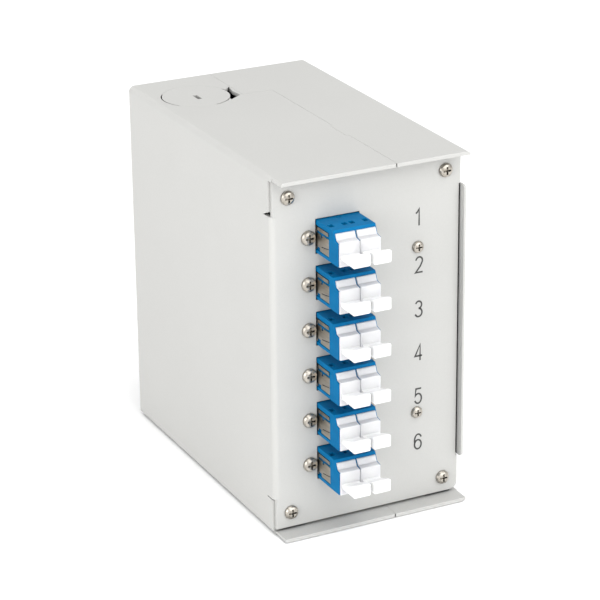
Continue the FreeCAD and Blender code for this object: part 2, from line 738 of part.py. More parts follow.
def adapter_clip():
    """Sprung metal strap: two side arms and a bridge under the adapter body.

    Each arm has a plate with a folded lower leaf, and a narrow finger above it.
    """
    outer = "body_width/2-clip_gap"
    inner = outer + "-clip_thick"
    strap = ("3.2", "seat_back-0.2")
    arm_low = "-seat_low+0.2"
    under = "-body_height/2-clip_gap"
    pieces = [box("clip_bridge", ("-(%s)" % outer, outer), strap, (under + "-clip_thick", under))]
    tools = []
    for name, xs in (("left", ("-(%s)" % outer, "-(%s)" % inner)), ("right", (inner, outer))):
        pieces.append(box("clip_plate_" + name, xs, ("-clip_reach", strap[1]), (arm_low, "clip_top")))
        pieces.append(box("clip_root_" + name, xs, ("0", strap[1]), (arm_low, "seat_high-0.2")))
        pieces.append(box("clip_finger_" + name, xs, ("-clip_reach+0.6", "0.5"),
                          ("clip_top+0.7", "seat_high-0.4")))
        pieces.append(box("clip_drop_" + name, xs, strap, (under + "-clip_thick", arm_low + "+0.1")))
        wide = (xs[0] + "-1", xs[1] + "+1")
        tools.append(box("clip_notch_" + name, wide, ("-3.4", "-2.4"), ("clip_top-0.8", "clip_top+0.1")))
        tools.append(box("clip_foot_" + name, wide, ("-2", "-clip_gap"), (arm_low + "-1", arm_low + "+0.9")))
        leaf = box("clip_leaf_" + name, wide, ("-clip_reach-1", "-clip_reach+4.4"), ("-1.45", "-1.25"))
        leaf.Placement.Rotation = FreeCAD.Rotation(FreeCAD.Vector(1, 0, 0), -9)
        tools.append(leaf)
    return cut("adapter_clip", fuse("clip_blank", pieces), tools)


def adapter_small_parts():
    levels = [adapter_level(k) for k in range(6)]
    copies("adapter_clips", adapter_clip(), [(ADAPTER_X, FRONT, z) for z in levels])
    tube = cut("alignment_sleeve", rod("sleeve_outer", "y", "sleeve_radius", "sleeve_length"),
               [rod("sleeve_inner", "y", "sleeve_bore", "sleeve_length")])
    axes = [("%s%sport_pitch/2" % (ADAPTER_X, sign), "%s+sheet/2-sleeve_length/2" % FRONT, "%s-port_axis" % z)
            for z in levels for sign in ("-", "+")]
    copies("alignment_sleeves", tube, axes)
    holes = [("%s%sflange_holes/2" % (ADAPTER_X, sign), "%s-head_gap" % FRONT, z)
             for z in levels for sign in ("-", "+")]
    copies("adapter_screws", screw("adapter_screw", "small_head", "small_shank", "small_screw"), holes)
    behind = [(x, "%s+sheet+flange_thick+0.1" % FRONT, z) for x, _, z in holes]
    master = nut("adapter_nut", "small_nut_flats", "small_shank+head_gap", "small_nut_thick")
    copies("adapter_nuts", master, behind)


def dust_cap(k, word, sign):
    """Port cap: plate over the adapter's face, plug in the port, flared grip in front."""
    body = new_body("dust_cap_%d_%s" % (k + 1, word))
    shoulder = "body_height/2-recess_height"
    front = "body_front+cap_gap"
    face = front + "+cap_plate"
    top = "body_height/2-cap_top"
    foot = "-body_height/2+0.05"
    lean = "recess_depth-0.32"
    side = [
        ("-(%s)" % front, foot),
        ("-(%s)" % face, foot),
        ("-(%s)" % face, "%s+0.05" % shoulder),
        ("-(%s)+recess_step" % face, "%s+0.35" % shoulder),
        ("-(%s)+%s" % (face, lean), top),
        ("-(%s)+%s-0.05" % (front, lean), top),
        ("-(%s)+recess_step" % front, "%s+0.2" % shoulder),
        ("-(%s)" % front, "%s-0.2" % shoulder),
    ]
    pad(body, sketch(body, "YZ_Plane", [side]), "cap_width", both=True)
    base = rectangle("-cap_base/2", "cap_base/2", foot, "%s-0.2" % shoulder)
    pad(body, sketch(body, "XZ_Plane", [base], face), "cap_plate", reverse=True)
    tip = face + "+grip_reach"
    grip = [
        ("-(%s)+cap_plate/2" % face, "-grip_low"), ("-(%s)" % tip, "-grip_low"),
        ("-(%s)" % tip, "grip_high"), ("-(%s)+1" % tip, "grip_high-0.15"),
        ("-(%s)-grip_root" % face, "-grip_waist"), ("-(%s)+cap_plate/2" % face, "-grip_waist+0.1"),
    ]
    pad(body, sketch(body, "YZ_Plane", [grip]), "grip_width", both=True)
    tip_y = -(N.body_front + N.cap_gap + N.cap_plate + N.grip_reach)
    fillet(body, "0.45", lambda e: abs(e.BoundBox.YMin - tip_y) < 0.01)
    plug = rectangle("-plug_width/2", "plug_width/2", "-port_low+0.2", "port_low-2*port_axis-0.2")
    pad(body, sketch(body, "XZ_Plane", [plug], front), "plug_length", reverse=True)
    bore = [("0", "-port_axis", "holder_radius")]
    deep = "body_front-plug_length-cap_gap"
    pocket(body, sketch(body, "XZ_Plane", [], deep, bore), "plug_length-1", reverse=True)
    place(body, "%s%sport_pitch/2" % (ADAPTER_X, sign), FRONT, adapter_level(k))
    return keep(body, body.Name)


# ---------------------------------------------------------------- splice tray

def tray_bracket():
    body = new_body("tray_bracket")
    y0 = "-case_depth/2+sheet+0.05"
    outline = [
        ("web_side", y0), ("web_side+foot_width", y0), ("web_side+foot_width", y0 + "+sheet"),
        ("web_side+sheet", y0 + "+sheet"), ("web_side+sheet", "web_back"), ("web_side", "web_back"),
    ]
    pad(body, sketch(body, "XY_Plane", [outline], "web_low"), "web_high-web_low")
    front = -N.case_depth / 2 + N.sheet + 0.05
    fillet(body, "bend_radius", lambda e: along(e, "z") and near(e, x=N.web_side, y=front))
    fillet(body, "bend_radius-sheet", lambda e: along(e, "z")
           and near(e, x=N.web_side + N.sheet, y=front + N.sheet))
    holes = [("tray_side", level, "corner_shank+hole_clearance")
             for level in ("tray_screw_high", "tray_screw_low")]
    pocket(body, sketch(body, "XZ_Plane", [], "case_depth/2-sheet", holes), "sheet+bracket_gap")
    rivets = [(y, z, "small_shank+hole_clearance") for y, z in TRAY_RIVETS]
    pocket(body, sketch(body, "YZ_Plane", [], "web_side+sheet", rivets), "sheet")
    return keep(body, "tray_bracket")


TRAY_RIVETS = [("guide_front", TRAY_MIDDLE), ("guide_back", TRAY_MIDDLE)]


def splice_tray():
    body = new_body("splice_tray")
    outer = rectangle("-tray_front", "tray_back", "web_low", "web_high")
    pad(body, sketch(body, "YZ_Plane", [outer], TRAY_FLOOR), "tray_height")
    inner = rectangle("-tray_front+tray_wall", "tray_back-tray_wall",
                      "web_low+tray_wall", "web_high-tray_wall")
    pocket(body, sketch(body, "YZ_Plane", [inner], TRAY_TOP), "tray_height-tray_wall")
    fillet(body, "tray_corner-tray_wall", lambda e: along(e, "x") and e.Length < N.tray_height - 0.1)
    fillet(body, "tray_corner", lambda e: along(e, "x") and e.Length > N.tray_height - 0.1)
    # Ways in and out for the fibers, and bores for the rivets.
    for low, high in (("web_high-tray_wall-0.1", "web_high+1"), ("web_low-1", "web_low+tray_wall+0.1")):
        way = rectangle("way_centre-way_half", "way_centre+way_half", low, high)
        pocket(body, sketch(body, "YZ_Plane", [way], TRAY_TOP), "tray_height-tray_wall-1")
    rivets = [(y, z, "small_shank+hole_clearance") for y, z in TRAY_RIVETS]
    pocket(body, sketch(body, "YZ_Plane", [], TRAY_FLOOR + "+tray_wall", rivets), "tray_wall")
    # Hinge knuckles at the back edge.
    pin_x, pin_y = PIN
    for start in ("knuckle_low", "knuckle_high"):
        z = KNUCKLES[start]
        ring = [(pin_x, pin_y, "knuckle_radius")]
        pad(body, sketch(body, "XY_Plane", [], z, ring), "knuckle_length")
        arm = rectangle("%s-knuckle_radius" % pin_x, "%s-0.3" % pin_x, "tray_back-tray_wall/2", pin_y)
        pad(body, sketch(body, "XY_Plane", [arm], z), "knuckle_length")
    bore = [(pin_x, pin_y, "pin_radius+0.02")]
    pocket(body, sketch(body, "XY_Plane", [], TRAY_MIDDLE, bore), "5*knuckle_length", both=True)
    return keep(body, "splice_tray")


def bend_guides():
    """Two rings on the tray floor that keep a fiber loop above its least radius."""
    floor = TRAY_FLOOR + "+tray_wall+bracket_gap/2"
    tall = "tray_height-2.5*tray_wall"
    rings = []
    for y in ("guide_front", "guide_back"):
        outside = rod(y + "_outside", "x", "guide_radius", tall, floor, y, TRAY_MIDDLE)
        hollow = rod(y + "_hollow", "x", "guide_radius-guide_wall", tall + "+2",
                     floor + "-1", y, TRAY_MIDDLE)
        rings.append(cut(y + "_ring", outside, [hollow]))
    group = doc.addObject("Part::Compound", "bend_guides")
    group.Links = rings
    keep(group, "bend_guides")


def tray_fingers():
    """Flat fingers over the tray's long edges that keep the fibers down."""
    low_x = TRAY_TOP + "-1"
    fingers = []
    for name, zs in (("upper", ("web_high-tray_wall-finger_reach", "web_high-tray_wall-0.05")),
                     ("lower", ("web_low+tray_wall+0.05", "web_low+tray_wall+finger_reach"))):
        for y in ("2", "20"):
            fingers.append(box("finger_%s_%s" % (name, y), (low_x, TRAY_TOP),
                               (y + "-finger_half", y + "+finger_half"), zs))
    group = doc.addObject("Part::Compound", "tray_fingers")
    group.Links = fingers
    keep(group, "tray_fingers")


PIN = ("web_side+sheet+0.1+tray_height+0.15", "tray_back+2")
KNUCKLES = {
    "knuckle_low": TRAY_MIDDLE + "-knuckle_length*1.5-0.3",
    "knuckle_mid": TRAY_MIDDLE + "-knuckle_length/2",
    "knuckle_high": TRAY_MIDDLE + "+knuckle_length/2+0.3",
}


def tray_lid():
    body = new_body("tray_lid")
    pin_x, pin_y = PIN
    sheet_shape = rectangle("-tray_front", "tray_back", "web_low", "web_high")
    pad(body, sketch(body, "YZ_Plane", [sheet_shape], pin_x), "lid_thick")
    fillet(body, "tray_corner", lambda e: along(e, "x"))
    tab = rectangle("-tray_front-3", "-tray_front+1", TRAY_MIDDLE + "-4", TRAY_MIDDLE + "+4")
    pad(body, sketch(body, "YZ_Plane", [tab], pin_x), "lid_thick")
    ring = [(pin_x, pin_y, "knuckle_radius")]
    z = KNUCKLES["knuckle_mid"]
    pad(body, sketch(body, "XY_Plane", [], z, ring), "knuckle_length")
    arm = rectangle(pin_x, "%s+lid_thick" % pin_x, "tray_back-tray_wall/2", pin_y)
    pad(body, sketch(body, "XY_Plane", [arm], z), "knuckle_length")
    bore = [(pin_x, pin_y, "pin_radius+0.05")]
    pocket(body, sketch(body, "XY_Plane", [], TRAY_MIDDLE, bore), "2*knuckle_length", both=True)
    return keep(body, "tray_lid")


def tray_small_parts():
    pin_x, pin_y = PIN
    pin = rod("hinge_pin", "z", "pin_radius", "3*knuckle_length+0.6", pin_x, pin_y, KNUCKLES["knuckle_low"])
    keep(pin, "hinge_pin")
    # Splice holder: a soft comb with grooves for the splice protectors.
    floor = TRAY_FLOOR + "+tray_wall+bracket_gap/2"
    zs = (TRAY_MIDDLE + "-comb_length/2", TRAY_MIDDLE + "+comb_length/2")
    far_end = "comb_front+5*comb_pitch+comb_tooth"
    teeth = [box("comb_back", (floor, floor + "+comb_base"), ("comb_front", far_end), zs)]
    for k in range(6):
        y = "comb_front+%d*comb_pitch" % k
        teeth.append(box("comb_tooth_%d" % k, (floor, floor + "+comb_height"), (y, y + "+comb_tooth"), zs))
    keep(fuse("splice_holder", teeth), "splice_holder")
    # Tray rivets: flat heads on both sides of the floor and web.
    rivets = []
    for index, (y, z) in enumerate(TRAY_RIVETS):
        shank = rod("rivet_shank_%d" % index, "x", "small_shank", "sheet+tray_wall+0.3",
                    "web_side-bracket_gap", y, z)
        back = rod("rivet_back_%d" % index, "x", "rivet_head", "rivet_thick",
                   "web_side-rivet_thick-bracket_gap/2", y, z)
        front = rod("rivet_front_%d" % index, "x", "rivet_head", "rivet_thick", floor, y, z)
        rivets.append(fuse("tray_rivet_%d" % index, [shank, back, front]))
    group = doc.addObject("Part::Compound", "tray_rivets")
    group.Links = rivets
    keep(group, "tray_rivets")
    spots = [("tray_side", "-case_depth/2-head_gap", z) for z in ("tray_screw_high", "tray_screw_low")]
    copies("tray_screws", screw("tray_screw_master", "tray_head", "corner_shank", "tray_screw"), spots)
    behind = [(x, "%s+2*sheet+0.15" % y, z) for x, y, z in spots]
    copies("tray_nuts", nut("tray_nut", "nut_flats", "corner_shank+head_gap", "nut_thick"), behind)


# ---------------------------------------------------------------- inside fittings

def cable_anchor():
    """T-ended tongue under the knockout that the cable is tied down to."""
    x = KNOCKOUT_X
    wall = "case_depth/2-sheet-bracket_gap/2"
    shelf = ("anchor_high-sheet", "anchor_high")

    def wide(name):
        return (x + "-%s/2" % name, x + "+%s/2" % name)

    leg = box("anchor_back", wide("anchor_leg"), (wall + "-sheet", wall), ("anchor_low", "anchor_high"))
    neck = box("anchor_shelf", wide("anchor_neck"), (wall + "-anchor_reach", wall), shelf)
    tip = (wall + "-anchor_reach", wall + "-anchor_reach+anchor_tip")
    head = box("anchor_end", wide("anchor_head"), tip, shelf)
    holes = []
    for word, sign in (("left", "-"), ("right", "+")):
        holes.append(rod("anchor_hole_" + word, "y", "small_shank+hole_clearance", "2*sheet+2",
                         x + sign + "anchor_spread", wall + "-sheet-1", "anchor_rivet"))
    keep(cut("cable_anchor", fuse("anchor_blank", [leg, neck, head]), holes), "cable_anchor")
    shank = rod("anchor_shank", "y", "small_shank", "2*sheet+0.2")
    inside = rod("anchor_inner_head", "y", "rivet_head", "rivet_thick", y="-rivet_thick")
    outside = rod("anchor_outer_head", "y", "rivet_head", "rivet_thick", y="2*sheet+1.5*bracket_gap")
    rivet = fuse("anchor_rivet_master", [shank, inside, outside])
    spots = [(x + sign + "anchor_spread", wall + "-sheet-bracket_gap/2", "anchor_rivet")
             for sign in ("-", "+")]
    copies("anchor_rivets", rivet, spots)


def fiber_clips():
    """Stick-on clips that hold the fiber slack against the side wall."""
    half = "fiber_base/2"
    base = box("guide_base", ("0", "fiber_foot"), ("-" + half, half), ("-" + half, half))
    centre = "fiber_foot-0.2+fiber_ring"
    ring = rod("guide_ring", "z", "fiber_ring", "fiber_width", centre, "0", "-fiber_width/2")
    hollow = rod("guide_hollow", "z", "fiber_ring-fiber_wall", "fiber_width+2",
                 centre, "0", "-fiber_width/2-1")
    mouth = box("guide_mouth", (centre, centre + "+2*fiber_ring"), ("-fiber_mouth/2", "fiber_mouth/2"),
                ("-fiber_width", "fiber_width"))
    loop = cut("guide_loop", ring, [hollow, mouth])
    guide = fuse("fiber_clip", [base, loop])
    x = "-case_width/2+sheet+bracket_gap/2"
    copies("fiber_clips", guide, [(x, "fiber_side", "fiber_low"), (x, "fiber_side", "fiber_high")])


# ---------------------------------------------------------------- rail clip

def rail_clip():
    """Base plate with a fixed upper hook and a channel for the sliding latch."""
    half = "clip_width/2"
    y0 = BACK + "+bracket_gap/2"
    hook_y = "%s+rail_slot" % SEAT
    far = "%s+hook_thick" % hook_y
    foot, head = "%s-clip_below" % RAIL_LOW, "%s+clip_above" % RAIL_TOP
    plate = box("clip_plate", ("-" + half, half), (y0, SEAT), (foot, head))
    block = box("clip_block", ("-" + half, half), (y0, far), ("%s+0.3" % RAIL_TOP, head))
    hook = box("clip_hook", ("-" + half, half), (hook_y, far),
               ("%s-hook_reach" % RAIL_TOP, "%s+1" % RAIL_TOP))
    channel_y = ("%s+slide_gap" % SEAT, "%s+latch_thick+2*slide_gap" % SEAT)
    rail_back = channel_y[1] + "+guide_back_wall"
    guide = box("clip_guide", ("-(latch_width/2+guide_side)", "latch_width/2+guide_side"), (y0, rail_back),
                (foot, "%s-2" % RAIL_LOW))
    groove = box("clip_groove", ("-(latch_width/2+slide_gap)", "latch_width/2+slide_gap"),
                 channel_y, (foot + "-1", "%s+1" % RAIL_LOW))
    window = box("clip_window", ("-2.4", "2.4"), (channel_y[1] + "-0.1", rail_back + "+1"),
                 ("spring_base-1.5-latch_travel", "spring_base+spring_length+1"))
    tools = [groove, window]
    for word, sign in (("upper", "+"), ("lower", "-")):
        level = "rail_centre%srail_holes" % sign
        tools.append(rod("clip_hole_" + word, "y", "corner_shank+hole_clearance", "plate_thick+2",
                         "0", y0 + "-1", level))
        tools.append(rod("clip_sink_" + word, "y", "rail_head+hole_clearance", "sink_depth+0.5",
                         "0", "%s-sink_depth" % SEAT, level))
    solid = cut("clip_cut", fuse("clip_solid", [plate, block, hook, guide]), tools)
    post = box("clip_post", ("-1.8", "1.8"), ("%s-0.5" % SEAT, channel_y[1] + "-0.3"),
               ("spring_base-2.5", "spring_base"))
    return keep(fuse("rail_clip", [solid, post]), "rail_clip")


def rail_latch():
    """Sliding latch; its nose goes behind the rail's lower edge."""
    body = new_body("rail_latch")
    y0 = "%s+0.3" % SEAT
    nose_y = "%s+rail_slot+0.1" % SEAT
    side = [
        (y0, "latch_low"), ("%s+latch_thick" % y0, "latch_low"),
        ("%s+latch_thick" % y0, "%s+hook_reach-1.6" % RAIL_LOW),
        ("%s+1.2" % nose_y, "%s+hook_reach" % RAIL_LOW),
        (nose_y, "%s+hook_reach" % RAIL_LOW),
        (nose_y, "%s-0.3" % RAIL_LOW), (y0, "%s-0.3" % RAIL_LOW),
    ]
    pad(body, sketch(body, "YZ_Plane", [side]), "latch_width", both=True)
    room = rectangle("-2.2", "2.2", "spring_base-3", "spring_base+spring_length")
    drawing = sketch(body, "XZ_Plane", [room], "-(%s)" % y0)
    pocket(body, drawing, "latch_thick+1")
    pull = rectangle("-3", "3", "latch_low+1.6", "latch_low+3.4")
    drawing = sketch(body, "XZ_Plane", [pull], "-(%s)" % y0)
    pocket(body, drawing, "latch_thick+1")
    return keep(body, "rail_latch")


def latch_spring():
    """Coil spring between the clip's post and the top of the latch's window."""
    coil = doc.addObject("Part::Helix", "spring_path")
    bind(coil, "Pitch", "(spring_length-3*spring_wire)/spring_turns")
    bind(coil, "Height", "spring_length-3*spring_wire")
    bind(coil, "Radius", "spring_radius")
    wire = doc.addObject("Part::Circle", "spring_section")
    wire.Placement.Rotation = FreeCAD.Rotation(FreeCAD.Vector(1, 0, 0), 90)
    bind(wire, "Radius", "spring_wire")
    bind(wire, "Placement.Base.x", "spring_radius")
    swept = doc.addObject("Part::Sweep", "latch_spring")
    swept.Sections = [wire]
    swept.Spine = (coil, [])
    swept.Solid = True
    swept.Frenet = True
    place(swept, "0", "%s+0.3+latch_thick/2" % SEAT, "spring_base+1.5*spring_wire")
    return keep(swept, "latch_spring")


def rail_fixings():
    """Screws through the rail clip's plate, heads outside, nuts inside the case."""
    levels = ["rail_centre%srail_holes" % sign for sign in ("+", "-")]
    master = screw("rail_screw_master", "rail_head", "corner_shank", "rail_screw")
    links = []
    for level in levels:
        link = doc.addObject("App::Link", "rail_screw_link")
        link.LinkedObject = master
        link.Placement.Rotation = FreeCAD.Rotation(FreeCAD.Vector(0, 0, 1), 180)
        place(link, "0", "%s-sink_depth+head_gap" % SEAT, level)
        links.append(link)
    group = doc.addObject("Part::Compound", "rail_clip_screws")
    group.Links = links
    keep(group, "rail_clip_screws")
    inside = [("0", "case_depth/2-sheet-nut_thick-0.1", level) for level in levels]
    copies("rail_clip_nuts", nut("rail_nut", "nut_flats", "corner_shank+head_gap", "nut_thick"), inside)


# ---------------------------------------------------------------- assembly

chassis()
cover()
knockout()
brackets()
corner_fixings()
for number in range(6):
    adapter_housing(number)
adapter_small_parts()
for number in range(6):
    dust_cap(number, "left", "-")
    dust_cap(number, "right", "+")
tray_bracket()
splice_tray()
bend_guides()
tray_fingers()
tray_lid()
tray_small_parts()
cable_anchor()
fiber_clips()
rail_clip()
rail_latch()
latch_spring()
rail_fixings()
doc.recompute()

for thing in doc.Objects:
    if "Invalid" in thing.State or "Error" in thing.State:
        raise RuntimeError("%s did not compute: %s" % (thing.Label, thing.State))

os.makedirs("parts", exist_ok=True)
for node in nodes:
    if node.Shape.isNull() or not node.Shape.isValid():
        raise RuntimeError(node.Label + " is not a valid shape")
    node.Shape.exportStep("parts/%s.step" % node.Label)
    print("%-26s solids %2d  volume %9.1f" % (node.Label, len(node.Shape.Solids), node.Shape.Volume))
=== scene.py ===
import json
import math

import bmesh
import bpy
from mathutils import Matrix, Vector


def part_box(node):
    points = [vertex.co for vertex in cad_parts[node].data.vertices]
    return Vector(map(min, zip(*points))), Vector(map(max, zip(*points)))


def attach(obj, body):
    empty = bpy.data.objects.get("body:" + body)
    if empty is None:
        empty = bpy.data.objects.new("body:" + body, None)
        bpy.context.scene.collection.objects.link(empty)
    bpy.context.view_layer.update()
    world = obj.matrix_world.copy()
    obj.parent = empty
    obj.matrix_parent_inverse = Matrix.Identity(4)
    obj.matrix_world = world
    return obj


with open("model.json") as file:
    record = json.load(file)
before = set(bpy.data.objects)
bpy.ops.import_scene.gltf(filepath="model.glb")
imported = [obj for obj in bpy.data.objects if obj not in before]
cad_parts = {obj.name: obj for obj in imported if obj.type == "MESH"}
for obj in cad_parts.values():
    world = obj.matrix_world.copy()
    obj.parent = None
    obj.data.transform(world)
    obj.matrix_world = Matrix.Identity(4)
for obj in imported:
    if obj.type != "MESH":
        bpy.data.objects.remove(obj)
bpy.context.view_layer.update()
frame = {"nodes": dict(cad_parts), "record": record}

MM = 0.001
nodes = frame["nodes"]


# ---------------------------------------------------------------- places read from the frame

# The case's lips reach this far in front of the panel.
LIP = 5.4 * MM
CASE_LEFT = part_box("chassis")[0].x
PANEL_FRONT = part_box("chassis")[0].y + LIP
ADAPTERS = [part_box("adapter_housing_%d" % k) for k in range(1, 7)]
ADAPTER_LEVELS = [(low.z + high.z) / 2 for low, high in ADAPTERS]


# ---------------------------------------------------------------- shader helpers

def new_material(name):
    material = bpy.data.materials.new(name)
    material.use_nodes = True
    tree = material.node_tree
    tree.nodes.clear()
    output = tree.nodes.new("ShaderNodeOutputMaterial")
    shader = tree.nodes.new("ShaderNodeBsdfPrincipled")
    tree.links.new(shader.outputs["BSDF"], output.inputs["Surface"])
    return material, tree, shader


def object_noise(tree, scale, detail=3.0, stretch=(1, 1, 1)):
    """Noise in the object's own metres, so that it stays on the piece."""
    where = tree.nodes.new("ShaderNodeTexCoord")
    mapping = tree.nodes.new("ShaderNodeMapping")
    mapping.inputs["Scale"].default_value = stretch
    noise = tree.nodes.new("ShaderNodeTexNoise")
    noise.inputs["Scale"].default_value = scale
    noise.inputs["Detail"].default_value = detail
    tree.links.new(where.outputs["Object"], mapping.inputs["Vector"])
    tree.links.new(mapping.outputs["Vector"], noise.inputs["Vector"])
    return noise.outputs["Fac"]


def ramp(tree, source, low, high, start=0.35, end=0.65):
    """Map a noise value between two colours."""
    made = tree.nodes.new("ShaderNodeValToRGB")
    first, last = made.color_ramp.elements
    first.position = start
    last.position = end
    first.color = (*low, 1)
    last.color = (*high, 1)
    tree.links.new(source, made.inputs["Fac"])
    return made.outputs["Color"]


def map_range(tree, source, **limits):
    """Map a number with the limits from_min, from_max, to_min and to_max."""
    made = tree.nodes.new("ShaderNodeMapRange")
    for limit, value in limits.items():
        made.inputs[limit.replace("_", " ").title()].default_value = value
    tree.links.new(source, made.inputs["Value"])
    return made.outputs["Result"]


def bump(tree, source, strength, distance, below=None):
    made = tree.nodes.new("ShaderNodeBump")
    made.inputs["Strength"].default_value = strength
    made.inputs["Distance"].default_value = distance
    tree.links.new(source, made.inputs["Height"])
    if below is not None:
        tree.links.new(below, made.inputs["Normal"])
    return made.outputs["Normal"]


def soft_edges(tree, radius):
    """A normal that rounds the edges off by a radius."""
    made = tree.nodes.new("ShaderNodeBevel")
    made.samples = 4
    made.inputs["Radius"].default_value = radius
    return made.outputs["Normal"]


def edge_mask(tree, radius):
    """0 on flat faces, rising towards 1 at edges."""
    rounded = soft_edges(tree, radius)
    shape = tree.nodes.new("ShaderNodeNewGeometry")
    dot = tree.nodes.new("ShaderNodeVectorMath")
    dot.operation = "DOT_PRODUCT"
    tree.links.new(rounded, dot.inputs[0])
    tree.links.new(shape.outputs["Normal"], dot.inputs[1])
    return map_range(tree, dot.outputs["Value"], from_min=0.995, from_max=0.86)


def mix_colour(tree, factor, first, second):
    """Mix two colours; each of the three is a value or a socket."""
    made = tree.nodes.new("ShaderNodeMix")
    made.data_type = "RGBA"
    for socket, value in ((made.inputs[0], factor), (made.inputs[6], first), (made.inputs[7], second)):
        if isinstance(value, bpy.types.NodeSocket):
            tree.links.new(value, socket)
        elif isinstance(value, tuple):
            socket.default_value = (*value, 1)
        else:
            socket.default_value = value
    return made.outputs[2]


def painted_crevice_shade(tree, colour, reach, dark, closed=0.25, clear=0.80):
    """Painted shade: darken a colour inside recesses narrower than reach."""
    shade = tree.nodes.new("ShaderNodeAmbientOcclusion")
    shade.samples = 8
    shade.inputs["Distance"].default_value = reach
    depth = map_range(tree, shade.outputs["AO"], from_min=closed, from_max=clear)
    return mix_colour(tree, depth, dark, colour)


def times(tree, value, factor):
    made = tree.nodes.new("ShaderNodeMath")
    made.operation = "MULTIPLY"
    made.inputs[1].default_value = factor
    tree.links.new(value, made.inputs[0])
    return made.outputs[0]


# ---------------------------------------------------------------- materials

def powder_coat():
    """Light grey polyester powder on sheet steel: fine orange peel, with a painted highlight on the edges
    and painted shade in narrow recesses.
    """
    material, tree, shader = new_material("powder_coat")
    cloud = object_noise(tree, 22.0, 4.0)
    speck = object_noise(tree, 3200.0, 2.0)
    base = ramp(tree, cloud, (0.413, 0.412, 0.398), (0.433, 0.432, 0.418))
    fine = ramp(tree, speck, (0.403, 0.402, 0.388), (0.443, 0.442, 0.428), 0.3, 0.7)
    colour = mix_colour(tree, 0.35, base, fine)
    # painted highlight: the edges are mixed towards a paler grey
    edges = times(tree, edge_mask(tree, 0.6 * MM), 0.45)
    colour = mix_colour(tree, edges, colour, (0.52, 0.52, 0.50))
    # painted shade: slits and recesses narrower than 1.8 mm darken towards near black
    colour = painted_crevice_shade(tree, colour, 1.8 * MM, (0.02, 0.02, 0.019), closed=0.12, clear=0.48)
    tree.links.new(colour, shader.inputs["Base Color"])
    tree.links.new(map_range(tree, cloud, to_min=0.40, to_max=0.52), shader.inputs["Roughness"])
    shader.inputs["Specular IOR Level"].default_value = 0.42
    peel = bump(tree, object_noise(tree, 900.0, 2.0), 0.10, 0.10 * MM, soft_edges(tree, 0.22 * MM))
    tree.links.new(bump(tree, speck, 0.12, 0.03 * MM, peel), shader.inputs["Normal"])
    return material


def metal(name, dark, light, rough, grain=(1, 1, 1), scale=900.0, depth=0.06, edge=0.1 * MM, painted_shade_reach=None):
    """Plated or bare metal with a directional grain, with painted shade darkening its recesses when a
    reach for it is given.
    """
    material, tree, shader = new_material(name)
    lines = object_noise(tree, scale, 3.0, grain)
    patch = object_noise(tree, 140.0, 3.0)
    colour = mix_colour(tree, 0.5, ramp(tree, lines, dark, light), ramp(tree, patch, dark, light))
    if painted_shade_reach:
        # painted shade: recesses narrower than the reach darken towards 0.12 of the dark tone
        colour = painted_crevice_shade(tree, colour, painted_shade_reach, tuple(0.12 * channel for channel in dark))
    tree.links.new(colour, shader.inputs["Base Color"])
    shader.inputs["Metallic"].default_value = 1.0
    tree.links.new(map_range(tree, patch, to_min=rough[0], to_max=rough[1]), shader.inputs["Roughness"])
    tree.links.new(bump(tree, lines, depth, 0.04 * MM, soft_edges(tree, edge)), shader.inputs["Normal"])
    return material


def plastic(name, dark, light, rough, spec=0.5, peel=0.08, milky=0.0, edge_tint=None, edge=0.18 * MM):
    """Moulded plastic: faint flow marks, fine spark-eroded texture, softened edges."""
    material, tree, shader = new_material(name)
    flow = object_noise(tree, 180.0, 3.0, (1, 1, 2.5))
    grain = object_noise(tree, 5200.0, 2.0)
    colour = ramp(tree, flow, dark, light)
    colour = mix_colour(tree, 0.18, colour, ramp(tree, grain, dark, light, 0.3, 0.7))
    if edge_tint:
        # when an edge colour is given, the edges are mixed towards it, lighter than the body colour
        colour = mix_colour(tree, times(tree, edge_mask(tree, edge * 2), 0.6), colour, edge_tint)
    tree.links.new(colour, shader.inputs["Base Color"])
    tree.links.new(map_range(tree, flow, to_min=rough[0], to_max=rough[1]), shader.inputs["Roughness"])
    shader.inputs["Specular IOR Level"].default_value = spec
    if milky:
        shader.inputs["Subsurface Weight"].default_value = milky
        shader.inputs["Subsurface Radius"].default_value = (3.0 * MM, 3.0 * MM, 2.8 * MM)
        shader.inputs["Subsurface Scale"].default_value = 1.0
    tree.links.new(bump(tree, grain, peel, 0.03 * MM, soft_edges(tree, edge)), shader.inputs["Normal"])
    return material


def clear_plastic():
    """Clear tray lid with a faint tint and fine scuffs."""
    material, tree, shader = new_material("clear_plastic")
    scuff = object_noise(tree, 600.0, 4.0, (1, 1, 0.15))
    tree.links.new(ramp(tree, scuff, (0.90, 0.94, 0.95), (0.97, 0.99, 1.0)), shader.inputs["Base Color"])
    shader.inputs["Transmission Weight"].default_value = 0.92
    shader.inputs["IOR"].default_value = 1.49
    tree.links.new(map_range(tree, scuff, to_min=0.03, to_max=0.10), shader.inputs["Roughness"])
    return material


def print_ink():
    """Dark grey pad-printed ink."""
    material, tree, shader = new_material("print_ink")
    grain = object_noise(tree, 2600.0, 3.0)
    tree.links.new(ramp(tree, grain, (0.030, 0.030, 0.029), (0.048, 0.048, 0.046)),
                   shader.inputs["Base Color"])
    tree.links.new(map_range(tree, grain, to_min=0.5, to_max=0.62), shader.inputs["Roughness"])
    tree.links.new(bump(tree, grain, 0.1, 0.02 * MM), shader.inputs["Normal"])
    return material


